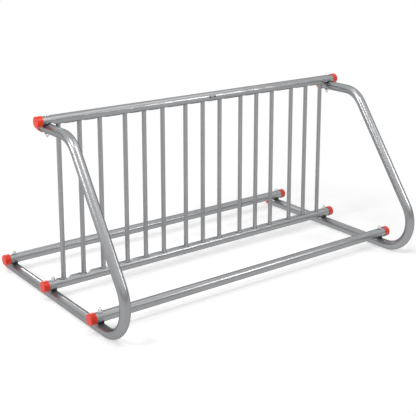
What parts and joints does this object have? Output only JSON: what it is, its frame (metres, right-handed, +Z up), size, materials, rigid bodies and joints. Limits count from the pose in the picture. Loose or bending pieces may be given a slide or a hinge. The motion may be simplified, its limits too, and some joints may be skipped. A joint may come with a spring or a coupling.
{
  "type": "floor bike rack",
  "caption": "Free-standing floor rack for bicycles: bent tube end frames carry bolted rails and a grid of upright bars in groups, whose gaps hold wheels; red end caps, black spacers.",
  "frame": {"origin": "on the floor, at the middle of the rack's length and depth", "axes": "+X along the rails, to the right seen from the front; +Y from the sloping front to the rear; +Z up"},
  "size_m": [1.5998, 0.9945, 0.7653],
  "materials": {
    "silver_coat": "silver powder coat, satin",
    "red_vinyl": "soft red vinyl, glossy",
    "zinc": "bright zinc plating",
    "black_spacer": "black moulded rubber, matte"
  },
  "bodies": {
    "root": {"left_end_frame": "silver_coat", "right_end_frame": "silver_coat", "rear_rail": "silver_coat", "front_rail": "silver_coat", "grid_base_rail": "silver_coat", "top_rail": "silver_coat", "grid_bar_01": "silver_coat", "grid_bar_02": "silver_coat", "grid_bar_03": "silver_coat", "grid_bar_04": "silver_coat", "grid_bar_05": "silver_coat", "grid_bar_06": "silver_coat", "grid_bar_07": "silver_coat", "grid_bar_08": "silver_coat", "grid_bar_09": "silver_coat", "grid_bar_10": "silver_coat", "grid_bar_11": "silver_coat", "grid_bar_12": "silver_coat", "grid_bar_13": "silver_coat", "grid_bar_14": "silver_coat", "grid_bar_15": "silver_coat", "rear_rail_left_cap": "red_vinyl", "rear_rail_right_cap": "red_vinyl", "front_rail_left_cap": "red_vinyl", "front_rail_right_cap": "red_vinyl", "grid_base_left_cap": "red_vinyl", "grid_base_right_cap": "red_vinyl", "top_rail_left_cap": "red_vinyl", "top_rail_right_cap": "red_vinyl", "floor_run_left_cap": "red_vinyl", "floor_run_right_cap": "red_vinyl", "upper_run_left_cap": "red_vinyl", "upper_run_right_cap": "red_vinyl", "rear_left_spacer": "black_spacer", "middle_left_spacer": "black_spacer", "front_left_spacer": "black_spacer", "top_left_spacer": "black_spacer", "rear_right_spacer": "black_spacer", "middle_right_spacer": "black_spacer", "front_right_spacer": "black_spacer", "top_right_spacer": "black_spacer", "floor_bolts": "zinc", "top_bolts": "zinc", "hex_nuts": "zinc", "flat_washers": "zinc"}
  },
  "joints": []
}
